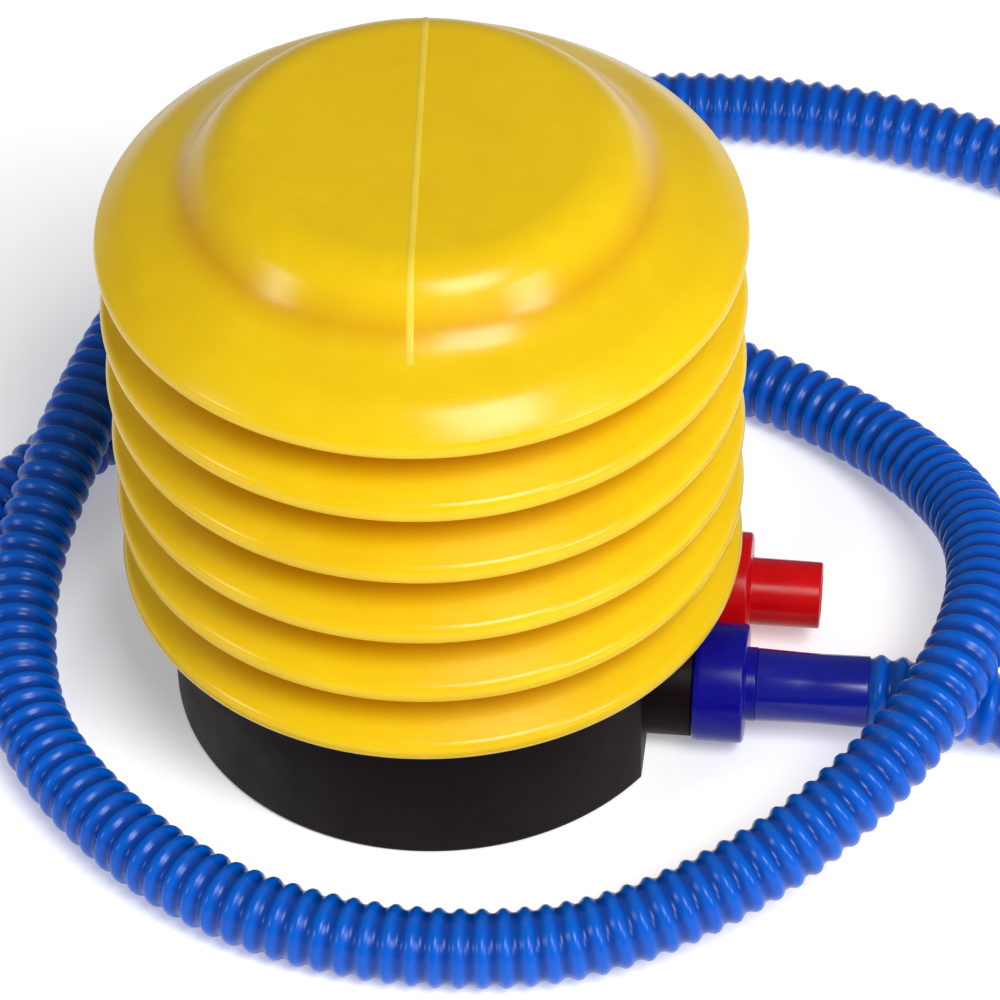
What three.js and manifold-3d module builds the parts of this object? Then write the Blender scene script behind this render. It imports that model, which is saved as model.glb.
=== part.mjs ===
// A foot-pressed bellows pump for balls and inflatables: a round base with an inlet and an outlet valve,
// a folded bellows with a domed foot pad, a return spring inside, and a ribbed hose that ends in a nozzle.
// Millimetres, +Z up. The origin is the centre of the base's underside and +X runs along the two ports.
import * as THREE from "three";
import { mergeVertices } from "three/addons/utils/BufferGeometryUtils.js";
import Module from "manifold-3d";

const wasm = await Module();
wasm.setup();

// ---- driving dimensions ----
const GAP = 0.3; // clearance between pieces that touch
const ROUND_STEPS = 32; // facets round the large turned pieces
const SMALL_STEPS = 20; // facets round the port pieces
const BASE_STEPS = 48; // facets round the base

const RIM_RADIUS = 58.2;
const VALLEY_RADIUS = 46.4;
const RIM_PITCH = 14.84;
const LOWEST_RIM_Z = 35.4;
const RIM_COUNT = 6;
const SKIN = 1.3; // wall of the blow-moulded bellows
const RIM_TIP = 2.2; // rounding of a rim's outer edge
const RIM_INNER_RADIUS = 54.3; // where a rim's band meets the folding web
const NECK_RADIUS = 47.5;
const NECK_BOTTOM_Z = 25.5;

const PAD_TOP_Z = 131; // flat top of the domed foot pad
const PAD_FLAT_RADIUS = 28.5;
const DOME_FOOT_RADIUS = 43.2;
const DOME_FOOT_Z = 120.5;
const SHOULDER_RADIUS = 52.6; // the flange round the pad bulges here
const SHOULDER_Z = 116.6;
const PAD_WALL = 1.8;

const BASE_RADIUS = 50.3;
const BASE_HEIGHT = 30.6;
const BASE_WALL = 2.4;
const BASE_FLOOR = 2.6;
const BASE_EDGE = 1.2; // rounding of the lower edge
const BASE_FLAT_X = 42; // the base is flat on the side of the ports, up to a shelf under the neck
const BASE_FLAT_TOP_Z = 22.4;
const LID_Z = 27.6;
const LID_THICKNESS = 2.4;
const LID_RADIUS = 45.8;
const POST_RING = 36; // radius of the circle that the lid's screws stand on
const POST_ANGLES = [90, 210, 330];
const POST_RADIUS = 3.6;
const SCREW_RADIUS = 1.4;
const SCREW_LENGTH = 14;
const SCREW_HEAD_RADIUS = 2.9;
const SCREW_HEAD_HEIGHT = 1.9;
const AIR_HOLE_RADIUS = 3.5;

const PORT_Y = 12.4; // the ports stand this far to each side of the X axis
const PORT_Z = 12.5;
const BOSS_INNER_X = 36;
const BOSS_FACE_X = 50.6;
const BOSS_STEPS = 28;
const BOSS_RADIUS = 10.6; // each port stands on a round boss, and a web joins the two
const SPIGOT_RADIUS = 9.6;
const SPIGOT_END_X = 56.6;
const CHAMBER_RADIUS = 8.4; // the valve's bore inside the spigot
const CHAMBER_X = 44;
const PASSAGE_RADIUS = 4.4;
const CAP_RADIUS = 11.3;
const CAP_END_X = 60.5;
const CAP_WALL_X = 58.2; // inner face of a cap's end wall
const GASKET_THICKNESS = 1;

const INLET_TUBE_RADIUS = 6.5;
const INLET_TUBE_BORE = 4.6;
const INLET_TUBE_END_X = 73;
const OUTLET_TUBE_RADIUS = 5.3;
const OUTLET_TUBE_BORE = 3.9;
const OUTLET_TUBE_END_X = 77;
const COLLAR_RADIUS = 7.0;
const COLLAR_END_X = 62.5;
const CUFF_RADIUS = 6.95;
const CUFF_END_X = 82.5;

const SEAT_RADIUS = 8.1;
const SEAT_THICKNESS = 2;
const SEAT_HOLE_RADIUS = 1.7;
const SEAT_HOLE_RING = 4;
const SEAT_HOLES = 5;
const FLAP_RADIUS = 6.8;
const FLAP_THICKNESS = 0.9;
const FLAP_PIN_RADIUS = 0.9;

const SPRING_RADIUS = 21; // to the middle of the wire
const SPRING_WIRE = 1.1;
const SPRING_TURNS = 6;
const SPRING_STEPS = 14; // facets along each turn
const SPRING_LOW_Z = 33.7;
const SPRING_HIGH_Z = 125.2;
const SPRING_SEAT_RADIUS = 25;
const SPRING_SEAT_PLATE = 1.6;
const SPRING_SEAT_LIP = 5;

const HOSE_RADIUS = 7.3;
const HOSE_SIDES = 10;
const HOSE_STEPS = 52;
// The hose's centre line, from the cuff to the free end: out of the port, round the right-hand side, behind
// the pump, over itself at the left, round the front, over its own start and behind the pump once more.
const HOSE_ROUTE = [
  [83.3, -12.4, 12.5], [98, -12.4, 11.7], [120, -12, 8.8], [146, -6.5, 7.6], [171, 7.5, 7.5],
  [188, 31, 7.5], [194.5, 60, 7.5], [189, 89, 7.5], [171.5, 114, 7.5], [145, 133, 7.5],
  [116, 147, 7.5], [86, 158.5, 7.5], [55, 164, 7.5], [23, 162.5, 7.5], [-7, 153.5, 7.8],
  [-33, 138, 9.5], [-51.5, 115.5, 13.5], [-64, 88, 19], [-71, 58.5, 23], [-76.5, 29, 21.3],
  [-80, -1.5, 14.2], [-73.5, -31, 8.6], [-53, -56, 7.5], [-26, -73, 7.5], [5, -79, 7.5],
  [36, -75, 8.5], [65, -60, 13.5], [88, -38.5, 21.5], [101.5, -11.5, 26.3], [103, 18, 22],
  [93, 45.5, 13.5], [71, 68.5, 8.3], [41, 82.5, 7.5], [10, 87.5, 7.5], [-21, 83.5, 7.5],
  [-50, 71, 7.5], [-74, 50.5, 7.5], [-91, 24.5, 7.5], [-103, -4, 7.5], [-112, -34, 7.5],
];
const END_CUFF_LENGTH = 22;
const NOZZLE_START = 14; // the nozzle's shank starts this far along the end cuff
const NOZZLE_STEPS = [ // [distance from the hose's end, radius] of the stepped cone
  [22.3, 6.4], [25.3, 6.4], [25.3, 4.9], [40, 4.4], [40, 3.7], [54, 3.2], [54, 2.7], [66, 2.2],
];
const NOZZLE_BORE = 1.4;

// ---- materials ----
const MATERIALS = {
  yellow: new THREE.MeshStandardMaterial({ color: 0xf2c20c, roughness: 0.38, metalness: 0 }),
  black: new THREE.MeshStandardMaterial({ color: 0x241d20, roughness: 0.5, metalness: 0 }),
  navy: new THREE.MeshStandardMaterial({ color: 0x1a1a8c, roughness: 0.28, metalness: 0 }),
  blue: new THREE.MeshStandardMaterial({ color: 0x0f4fc0, roughness: 0.32, metalness: 0 }),
  red: new THREE.MeshStandardMaterial({ color: 0xc4101a, roughness: 0.28, metalness: 0 }),
  white: new THREE.MeshStandardMaterial({ color: 0xe6e4de, roughness: 0.5, metalness: 0 }),
  rubber: new THREE.MeshStandardMaterial({ color: 0x1c1c1e, roughness: 0.8, metalness: 0 }),
  steel: new THREE.MeshStandardMaterial({ color: 0xb8babd, roughness: 0.3, metalness: 1 }),
};

// ---- solids ----
// A closed geometry as a solid, with its faces turned outwards.
function solidOf(geometry) {
  const bare = geometry.index ? geometry.toNonIndexed() : geometry.clone();
  bare.deleteAttribute("normal");
  bare.deleteAttribute("uv");
  const merged = mergeVertices(bare, 1e-4);
  const corners = merged.index.array;
  const triangles = [];
  for (let i = 0; i < corners.length; i += 3) {
    const [a, b, c] = corners.slice(i, i + 3);
    if (a !== b && b !== c && c !== a) triangles.push([a, b, c]);
  }
  const build = (faces) => {
    const triVerts = new Uint32Array(faces.flat());
    const vertProperties = merged.attributes.position.array;
    return new wasm.Manifold(new wasm.Mesh({ numProp: 3, vertProperties, triVerts }));
  };
  const made = build(triangles);
  return made.volume() > 0 ? made : build(triangles.map(([a, b, c]) => [a, c, b]));
}

// A profile of [radius, height] points turned round the Z axis. One that stays off the axis closes on itself.
function turned(points, steps = ROUND_STEPS) {
  const profile = points.map(([r, z]) => new THREE.Vector2(r, z));
  const ends = [points[0], points[points.length - 1]];
  if (ends.some(([r]) => r > 0)) profile.push(profile[0].clone());
  return solidOf(new THREE.LatheGeometry(profile, steps).rotateX(Math.PI / 2));
}

// The same, turned round the line that runs along +X through a port's centre: points are [radius, x].
function turnedOnPort(points, side, steps = SMALL_STEPS) {
  return turned(points, steps).rotate([0, 90, 0]).translate([0, side * PORT_Y, PORT_Z]);
}

// A ring or disc of a rectangular section, between two heights.
function ring(outer, inner, low, high) {
  if (inner > 0) return [[inner, low], [outer, low], [outer, high], [inner, high]];
  return [[0, low], [outer, low], [outer, high], [0, high]];
}

// Points along a quarter or half round in a profile, from one angle to another in degrees.
function arc(r, z, radius, from, to, count) {
  return Array.from({ length: count + 1 }, (_, i) => {
    const angle = THREE.MathUtils.degToRad(from + ((to - from) * i) / count);
    return [r + radius * Math.cos(angle), z + radius * Math.sin(angle)];
  });
}

function onCircle(radius, degrees) {
  const angle = THREE.MathUtils.degToRad(degrees);
  return [radius * Math.cos(angle), radius * Math.sin(angle)];
}

function meshOf(name, solid, material) {
  const { numProp, vertProperties, triVerts } = solid.getMesh();
  const positions = new Float32Array((vertProperties.length / numProp) * 3);
  for (let i = 0; i < positions.length / 3; i++) {
    positions.set(vertProperties.subarray(i * numProp, i * numProp + 3), i * 3);
  }
  const geometry = new THREE.BufferGeometry();
  geometry.setAttribute("position", new THREE.BufferAttribute(positions, 3));
  geometry.setIndex(new THREE.BufferAttribute(new Uint32Array(triVerts), 1));
  geometry.computeVertexNormals();
  const mesh = new THREE.Mesh(geometry, material);
  mesh.name = name;
  return mesh;
}

// A round section swept along a curve of the given points.
function swept(curve, radius, sides, steps) {
  const section = new THREE.Shape();
  for (let i = 0; i < sides; i++) {
    const [x, y] = onCircle(radius, (360 * i) / sides);
    if (i === 0) section.moveTo(x, y);
    else section.lineTo(x, y);
  }
  section.closePath();
  return solidOf(new THREE.ExtrudeGeometry(section, { steps, extrudePath: curve, bevelEnabled: false }));
}

// ---- base ----
// A block beyond a plane across the X axis, which trims the round base flat there.
function beyondFlat(x, top) {
  return solidOf(
    new THREE.BoxGeometry(BASE_RADIUS, 2 * BASE_RADIUS, 2 * top).translate(x + BASE_RADIUS / 2, 0, 0),
  );
}

function baseCup() {
  const inside = BASE_RADIUS - BASE_WALL;
  const body = turned([
    [0, 0],
    ...arc(BASE_RADIUS - BASE_EDGE, BASE_EDGE, BASE_EDGE, -90, 0, 4),
    [BASE_RADIUS, BASE_HEIGHT],
    [0, BASE_HEIGHT],
  ], BASE_STEPS);
  const room = turned(ring(inside, 0, BASE_FLOOR, BASE_HEIGHT + 1), BASE_STEPS);
  const shell = body
    .subtract(beyondFlat(BASE_FLAT_X, BASE_FLAT_TOP_Z))
    .subtract(room.subtract(beyondFlat(BASE_FLAT_X - BASE_WALL, BASE_FLAT_TOP_Z + BASE_WALL)));
  const width = BOSS_FACE_X - BOSS_INNER_X;
  const web = solidOf(
    new THREE.BoxGeometry(width, 2 * PORT_Y, 2 * BOSS_RADIUS).translate(BOSS_INNER_X + width / 2, 0, PORT_Z),
  );
  let cup = shell.add(web);
  for (const side of [-1, 1]) {
    cup = cup.add(turnedOnPort(ring(BOSS_RADIUS, 0, BOSS_INNER_X, BOSS_FACE_X), side, BOSS_STEPS));
    cup = cup.add(turnedOnPort(ring(SPIGOT_RADIUS, 0, BOSS_FACE_X - 1, SPIGOT_END_X), side));
    cup = cup.subtract(turnedOnPort(ring(CHAMBER_RADIUS, 0, CHAMBER_X, SPIGOT_END_X + 1), side));
    cup = cup.subtract(turnedOnPort(ring(PASSAGE_RADIUS, 0, BOSS_INNER_X - 1, CHAMBER_X + 1), side));
  }
  for (const degrees of POST_ANGLES) {
    const [x, y] = onCircle(POST_RING, degrees);
    const post = turned(ring(POST_RADIUS, 0, BASE_FLOOR - 0.5, LID_Z - GAP), 12).translate([x, y, 0]);
    const depth = SCREW_LENGTH + 1;
    const hole = turned(ring(SCREW_RADIUS + GAP, 0, LID_Z - depth, LID_Z), 12).translate([x, y, 0]);
    cup = cup.add(post).subtract(hole);
  }
  return cup;
}

function baseLid() {
  const top = LID_Z + LID_THICKNESS;
  let lid = turned(ring(LID_RADIUS, 0, LID_Z, top), BASE_STEPS);
  for (const degrees of POST_ANGLES) {
    const [x, y] = onCircle(POST_RING, degrees);
    lid = lid.subtract(turned(ring(SCREW_RADIUS + GAP, 0, LID_Z - 1, top + 1), 12).translate([x, y, 0]));
    const [holeX, holeY] = onCircle(POST_RING, degrees - 60);
    lid = lid.subtract(turned(ring(AIR_HOLE_RADIUS, 0, LID_Z - 1, top + 1), 16).translate([holeX, holeY, 0]));
  }
  return lid;
}

function lidScrew(degrees) {
  const [x, y] = onCircle(POST_RING, degrees);
  const top = LID_Z + LID_THICKNESS + GAP;
  return turned([
    [0, top - SCREW_LENGTH],
    [SCREW_RADIUS * 0.6, top - SCREW_LENGTH],
    [SCREW_RADIUS, top - SCREW_LENGTH + 1.5],
    [SCREW_RADIUS, top],
    [SCREW_HEAD_RADIUS, top],
    [SCREW_HEAD_RADIUS * 0.8, top + SCREW_HEAD_HEIGHT],
    [0, top + SCREW_HEAD_HEIGHT],
  ], 12).translate([x, y, 0]);
}

// ---- ports ----
function portCap(side, tube) {
  return turnedOnPort([
    [SPIGOT_RADIUS + GAP, BOSS_FACE_X + GAP],
    [CAP_RADIUS, BOSS_FACE_X + GAP],
    [CAP_RADIUS, CAP_END_X - 0.8],
    [CAP_RADIUS - 0.8, CAP_END_X],
    ...tube,
    [SPIGOT_RADIUS + GAP, CAP_WALL_X],
  ], side);
}

const inletTube = [
  [INLET_TUBE_RADIUS, CAP_END_X],
  [INLET_TUBE_RADIUS, INLET_TUBE_END_X],
  [INLET_TUBE_BORE, INLET_TUBE_END_X],
  [INLET_TUBE_BORE, CAP_WALL_X],
];
const outletTube = [
  [COLLAR_RADIUS, CAP_END_X],
  [COLLAR_RADIUS, COLLAR_END_X],
  [OUTLET_TUBE_RADIUS, COLLAR_END_X],
  [OUTLET_TUBE_RADIUS, OUTLET_TUBE_END_X],
  [OUTLET_TUBE_BORE, OUTLET_TUBE_END_X],
  [OUTLET_TUBE_BORE, CAP_WALL_X],
];

function portGasket(side) {
  const low = SPIGOT_END_X + GAP;
  return turnedOnPort(ring(SPIGOT_RADIUS - 0.2, CHAMBER_RADIUS - 0.6, low, low + GASKET_THICKNESS), side);
}

function valveSeat(side, x) {
  let seat = turnedOnPort(ring(SEAT_RADIUS, 0, x, x + SEAT_THICKNESS), side);
  for (let i = 0; i < SEAT_HOLES; i++) {
    const [y, z] = onCircle(SEAT_HOLE_RING, (360 * i) / SEAT_HOLES);
    const hole = turnedOnPort(ring(SEAT_HOLE_RADIUS, 0, x - 1, x + SEAT_THICKNESS + 1), side, 12);
    seat = seat.subtract(hole.translate([0, y, z]));
  }
  return seat;
}

function valveFlap(side, x) {
  return turnedOnPort(ring(FLAP_RADIUS, FLAP_PIN_RADIUS, x, x + FLAP_THICKNESS), side);
}

function hoseCuff() {
  const bore = OUTLET_TUBE_RADIUS + GAP;
  return turnedOnPort([
    [bore, COLLAR_END_X + GAP],
    [CUFF_RADIUS, COLLAR_END_X + GAP],
    [CUFF_RADIUS, CUFF_END_X],
    [bore, CUFF_END_X],
  ], -1);
}

// ---- bellows ----
const rimZ = (number) => LOWEST_RIM_Z + (RIM_COUNT - number) * RIM_PITCH;

// The outer edge of a rim, from its lower leg to its upper leg.
function rimEdge(z) {
  const centre = RIM_RADIUS - RIM_TIP;
  return arc(centre, z, RIM_TIP, -90, 90, 4);
}

function bellowsRim(number) {
  const z = rimZ(number);
  const inner = RIM_TIP - SKIN;
  return turned([
    [RIM_INNER_RADIUS, z - RIM_TIP],
    ...rimEdge(z),
    [RIM_INNER_RADIUS, z + RIM_TIP],
    [RIM_INNER_RADIUS, z + inner],
    ...arc(RIM_RADIUS - RIM_TIP, z, inner, 90, -90, 2),
    [RIM_INNER_RADIUS, z - inner],
  ]);
}

// The folding web between two rims, a V that opens outwards.
function bellowsFold(upper) {
  const high = rimZ(upper);
  const low = rimZ(upper + 1);
  const middle = (high + low) / 2;
  const edge = RIM_INNER_RADIUS - GAP;
  const inner = RIM_TIP - SKIN;
  return turned([
    [edge, low + RIM_TIP],
    [VALLEY_RADIUS, middle],
    [edge, high - RIM_TIP],
    [edge, high - inner],
    [VALLEY_RADIUS - 1.7, middle],
    [edge, low + inner],
  ]);
}

function bellowsBottom() {
  const z = rimZ(RIM_COUNT);
  const inner = RIM_TIP - SKIN;
  const neckTop = BASE_HEIGHT + GAP;
  return turned([
    [NECK_RADIUS, NECK_BOTTOM_Z],
    [NECK_RADIUS, neckTop],
    [NECK_RADIUS + 1.5, neckTop],
    ...rimEdge(z),
    [RIM_INNER_RADIUS, z + RIM_TIP],
    [RIM_INNER_RADIUS, z + inner],
    ...arc(RIM_RADIUS - RIM_TIP, z, inner, 90, -90, 2),
    [NECK_RADIUS, neckTop + 1.6],
    [NECK_RADIUS - SKIN, neckTop + 0.8],
    [NECK_RADIUS - SKIN, NECK_BOTTOM_Z],
  ]);
}

function bellowsTop() {
  const z = rimZ(1);
  const inner = RIM_TIP - SKIN;
  return turned([
    [0, PAD_TOP_Z],
    [PAD_FLAT_RADIUS, PAD_TOP_Z],
    ...arc(PAD_FLAT_RADIUS, PAD_TOP_Z - 7, 7, 80, 15, 3),
    [DOME_FOOT_RADIUS - 1.6, DOME_FOOT_Z + 1.2],
    [DOME_FOOT_RADIUS + 0.6, DOME_FOOT_Z],
    [SHOULDER_RADIUS, SHOULDER_Z],
    ...arc(RIM_RADIUS - RIM_TIP, z, RIM_TIP, 30, -90, 4),
    [RIM_INNER_RADIUS, z - RIM_TIP],
    [RIM_INNER_RADIUS, z - inner],
    ...arc(RIM_RADIUS - RIM_TIP, z, inner, -90, 25, 2),
    [SHOULDER_RADIUS - 0.9, SHOULDER_Z - PAD_WALL],
    [DOME_FOOT_RADIUS - 0.2, DOME_FOOT_Z - PAD_WALL],
    [DOME_FOOT_RADIUS - 3.6, DOME_FOOT_Z],
    ...arc(PAD_FLAT_RADIUS, PAD_TOP_Z - 7, 7 - PAD_WALL, 15, 80, 2),
    [PAD_FLAT_RADIUS, PAD_TOP_Z - PAD_WALL],
    [0, PAD_TOP_Z - PAD_WALL],
  ]);
}

// ---- spring ----
// A helix that closes up into a flat ring at each end.
class SpringCurve extends THREE.Curve {
  getPoint(t, target = new THREE.Vector3()) {
    const angle = 2 * Math.PI * SPRING_TURNS * t;
    const rise = THREE.MathUtils.smoothstep(t, 0, 1) * 0.25 + t * 0.75;
    const [x, y] = [SPRING_RADIUS * Math.cos(angle), SPRING_RADIUS * Math.sin(angle)];
    return target.set(x, y, THREE.MathUtils.lerp(SPRING_LOW_Z, SPRING_HIGH_Z, rise));
  }
}

// A plate with a round lip that keeps one end of the spring in its place.
function springSeat(z, up) {
  const lip = SPRING_RADIUS - SPRING_WIRE - GAP - 0.4;
  const profile = [
    [lip - 5, 0],
    [SPRING_SEAT_RADIUS, 0],
    [SPRING_SEAT_RADIUS, SPRING_SEAT_PLATE],
    [lip, SPRING_SEAT_PLATE],
    [lip - 1, SPRING_SEAT_LIP],
    [lip - 3, SPRING_SEAT_LIP],
    [lip - 3.6, SPRING_SEAT_PLATE],
    [lip - 5, SPRING_SEAT_PLATE],
  ];
  return turned(profile.map(([r, height]) => [r, up ? z + height : z - height]));
}

// ---- hose's free end ----
// Turns a solid made along +Z, so that it starts at the hose's end and runs on in its direction.
function placedAtHoseEnd(solid) {
  const [before, end] = HOSE_ROUTE.slice(-2).map((point) => new THREE.Vector3(...point));
  const heading = end.clone().sub(before).setZ(0).normalize();
  const turn = THREE.MathUtils.radToDeg(Math.atan2(heading.y, heading.x));
  return solid.rotate([0, 90, 0]).rotate([0, 0, turn]).translate(end.toArray());
}

function endCuff() {
  return placedAtHoseEnd(turned([
    [0, GAP],
    [CUFF_RADIUS, GAP],
    [CUFF_RADIUS, END_CUFF_LENGTH],
    [4.4, END_CUFF_LENGTH],
    [4.4, NOZZLE_START - GAP],
    [0, NOZZLE_START - GAP],
  ], SMALL_STEPS));
}

function nozzle() {
  const tip = NOZZLE_STEPS[NOZZLE_STEPS.length - 1][0];
  return placedAtHoseEnd(turned([
    [NOZZLE_BORE, NOZZLE_START],
    [4.1, NOZZLE_START],
    [4.1, END_CUFF_LENGTH + GAP],
    ...NOZZLE_STEPS.map(([along, radius]) => [radius, along]),
    [NOZZLE_BORE, tip],
  ], SMALL_STEPS));
}

// ---- assembly ----
const pump = new THREE.Group();
const place = (name, solid, material) => pump.add(meshOf(name, solid, material));

place("base_cup", baseCup(), MATERIALS.black);
place("base_lid", baseLid(), MATERIALS.black);
POST_ANGLES.forEach((degrees, i) => place(`lid_screw_${i + 1}`, lidScrew(degrees), MATERIALS.steel));

place("inlet_port_cap", portCap(1, inletTube), MATERIALS.red);
place("outlet_port_cap", portCap(-1, outletTube), MATERIALS.navy);
place("inlet_gasket", portGasket(1), MATERIALS.rubber);
place("outlet_gasket", portGasket(-1), MATERIALS.rubber);
const outletSeatX = CHAMBER_X + GAP;
const inletSeatX = SPIGOT_END_X - SEAT_THICKNESS;
place("outlet_valve_seat", valveSeat(-1, outletSeatX), MATERIALS.white);
place("inlet_valve_seat", valveSeat(1, inletSeatX), MATERIALS.white);
place("outlet_valve_flap", valveFlap(-1, outletSeatX + SEAT_THICKNESS + GAP), MATERIALS.rubber);
place("inlet_valve_flap", valveFlap(1, inletSeatX - GAP - FLAP_THICKNESS), MATERIALS.rubber);

place("bellows_bottom_rim", bellowsBottom(), MATERIALS.yellow);
for (let number = RIM_COUNT - 1; number > 1; number--) {
  place(`bellows_rim_${number}`, bellowsRim(number), MATERIALS.yellow);
}
for (let number = 1; number < RIM_COUNT; number++) {
  place(`bellows_fold_${number}`, bellowsFold(number), MATERIALS.yellow);
}
place("bellows_top", bellowsTop(), MATERIALS.yellow);

const springSteps = SPRING_TURNS * SPRING_STEPS;
place("return_spring", swept(new SpringCurve(), SPRING_WIRE, 6, springSteps), MATERIALS.steel);
place("spring_seat_lower", springSeat(LID_Z + LID_THICKNESS + GAP, true), MATERIALS.white);
place("spring_seat_upper", springSeat(PAD_TOP_Z - PAD_WALL - GAP, false), MATERIALS.white);

const route = new THREE.CatmullRomCurve3(HOSE_ROUTE.map((point) => new THREE.Vector3(...point)));
place("hose_cuff", hoseCuff(), MATERIALS.navy);
place("hose", swept(route, HOSE_RADIUS, HOSE_SIDES, HOSE_STEPS), MATERIALS.blue);
place("hose_end_cuff", endCuff(), MATERIALS.navy);
place("nozzle", nozzle(), MATERIALS.navy);

export default pump;
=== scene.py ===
"""A foot-pressed bellows pump with its ribbed hose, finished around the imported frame.

Every length in the classes is in millimetres unless its name ends in _m, and the meshes are in metres.
"""

import logging
import math
from dataclasses import dataclass, field
from enum import Enum

import bmesh
import bpy
import numpy as np
from mathutils import Matrix, Vector


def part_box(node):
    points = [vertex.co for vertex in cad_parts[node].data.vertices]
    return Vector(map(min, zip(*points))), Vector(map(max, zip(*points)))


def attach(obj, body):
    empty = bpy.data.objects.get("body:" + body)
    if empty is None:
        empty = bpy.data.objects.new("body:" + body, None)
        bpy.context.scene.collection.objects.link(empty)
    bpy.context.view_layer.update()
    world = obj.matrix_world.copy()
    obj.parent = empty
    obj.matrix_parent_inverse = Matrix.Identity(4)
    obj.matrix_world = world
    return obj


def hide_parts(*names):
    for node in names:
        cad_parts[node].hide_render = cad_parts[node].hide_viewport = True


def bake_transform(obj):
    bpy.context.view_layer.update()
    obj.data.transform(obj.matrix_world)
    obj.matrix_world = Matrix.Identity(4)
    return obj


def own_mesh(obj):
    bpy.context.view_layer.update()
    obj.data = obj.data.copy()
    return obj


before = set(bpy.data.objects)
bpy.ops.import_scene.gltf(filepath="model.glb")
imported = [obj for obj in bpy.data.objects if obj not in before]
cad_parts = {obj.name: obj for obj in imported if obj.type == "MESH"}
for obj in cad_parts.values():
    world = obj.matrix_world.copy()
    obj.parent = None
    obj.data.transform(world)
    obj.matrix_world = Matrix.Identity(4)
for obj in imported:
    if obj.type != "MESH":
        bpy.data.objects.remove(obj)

LOG = logging.getLogger("bellows_pump")
MM = 0.001
FULL_TURN = 2 * math.pi
WHITE = (1.0, 1.0, 1.0, 1.0)
PUMP_MIDDLE_M = Vector((0.0, 0.0, 0.06))
STRAIGHT_DEG = 178.0  # a corner opener than this stays as it is
EDGE_SHARE = 0.499  # how much of an edge one rounding may take up
SAME_POINT_M = 1e-7  # turned points nearer than this are one
WELD_M = 2e-6  # points of a carved piece nearer than this are one


# ---------------- outlines and meshes


@dataclass(frozen=True)
class Corner:
    """One corner of an outline.

    Args:
        r: Distance from the axis.
        z: Height along the axis.
        fillet: Radius that rounds the corner, 0 for a sharp one.
    """

    r: float
    z: float
    fillet: float = 0.0


def fillet_points(before: Vector, corner: Vector, after: Vector, radius: float, steps: int) -> list[Vector]:
    """Rounds one corner of an outline.

    Args:
        before: The corner that comes before it.
        corner: The corner to round.
        after: The corner that comes after it.
        radius: The wanted radius.
        steps: Chords in the arc.

    Returns:
        The points that take the corner's place.
    """
    to_before, to_after = (before - corner), (after - corner)
    angle = to_before.angle(to_after)
    if radius <= 0 or angle > math.radians(STRAIGHT_DEG):
        return [corner]
    reach = min(radius / math.tan(angle / 2), EDGE_SHARE * to_before.length, EDGE_SHARE * to_after.length)
    start = corner + to_before.normalized() * reach
    end = corner + to_after.normalized() * reach
    centre = corner + (to_before.normalized() + to_after.normalized()).normalized() * (
        reach / math.cos(angle / 2)
    )
    first = start - centre
    sweep = first.angle_signed(end - centre)
    return [
        centre + Vector((
            first.x * math.cos(turn) - first.y * math.sin(turn),
            first.x * math.sin(turn) + first.y * math.cos(turn),
        ))
        for turn in (-sweep * i / steps for i in range(steps + 1))
    ]


def outline(corners: list[Corner], closed: bool, steps: int = 5) -> list[Vector]:
    """Rounds every corner of an outline.

    Args:
        corners: The outline's corners, in order.
        closed: Whether the last corner joins the first.
        steps: Chords in each arc.

    Returns:
        The points of the rounded outline, (radius, height), in millimetres.
    """
    flat = [Vector((c.r, c.z)) for c in corners]
    points: list[Vector] = []
    for i, corner in enumerate(corners):
        if not closed and i in (0, len(corners) - 1):
            points.append(flat[i])
            continue
        points += fillet_points(flat[i - 1], flat[i], flat[(i + 1) % len(flat)], corner.fillet, steps)
    return points


def revolve(points: list[Vector], closed: bool, steps: int, place: Matrix | None = None) -> bmesh.types.BMesh:
    """Turns an outline round the Z axis.

    Args:
        points: The outline, (radius, height) in millimetres.
        closed: Whether the last point joins the first.
        steps: Facets round the turn.
        place: Moves the finished shape, in metres.

    Returns:
        A closed bmesh in metres, with its faces pointing out.
    """
    bm = bmesh.new()
    verts = [bm.verts.new((p.x * MM, 0.0, p.y * MM)) for p in points]
    pairs = list(zip(verts, verts[1:] + verts[:1])) if closed else list(zip(verts, verts[1:]))
    edges = [bm.edges.new(pair) for pair in pairs]
    bmesh.ops.spin(
        bm, geom=verts + edges, cent=(0, 0, 0), axis=(0, 0, 1), dvec=(0, 0, 0), angle=FULL_TURN,
        steps=steps, use_merge=True, use_normal_flip=False, use_duplicate=False,
    )
    bmesh.ops.remove_doubles(bm, verts=bm.verts, dist=SAME_POINT_M)
    bmesh.ops.recalc_face_normals(bm, faces=bm.faces)
    if place is not None:
        bmesh.ops.transform(bm, matrix=place, verts=bm.verts)
    return bm


def rounded_block(low: Vector, high: Vector, radius: float) -> bmesh.types.BMesh:
    """A box with rounded edges.

    Args:
        low: Its lowest corner, in millimetres.
        high: Its highest corner, in millimetres.
        radius: The rounding of its edges, in millimetres.

    Returns:
        The box in metres.
    """
    bm = bmesh.new()
    bmesh.ops.create_cube(bm, size=1.0)
    bmesh.ops.scale(bm, vec=(high - low) * MM, verts=bm.verts)
    bmesh.ops.translate(bm, vec=(high + low) / 2 * MM, verts=bm.verts)
    bmesh.ops.bevel(
        bm, geom=list(bm.edges), offset=radius * MM, offset_type="OFFSET", segments=4, profile=0.5,
        affect="EDGES", material=-1,
    )
    return bm


def shade_smooth(mesh: bpy.types.Mesh, crease: float) -> None:
    """Shades a mesh smooth, but for the edges that are sharper than the crease, in degrees."""
    mesh.polygons.foreach_set("use_smooth", [True] * len(mesh.polygons))
    mesh.set_sharp_from_angle(angle=math.radians(crease))


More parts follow.
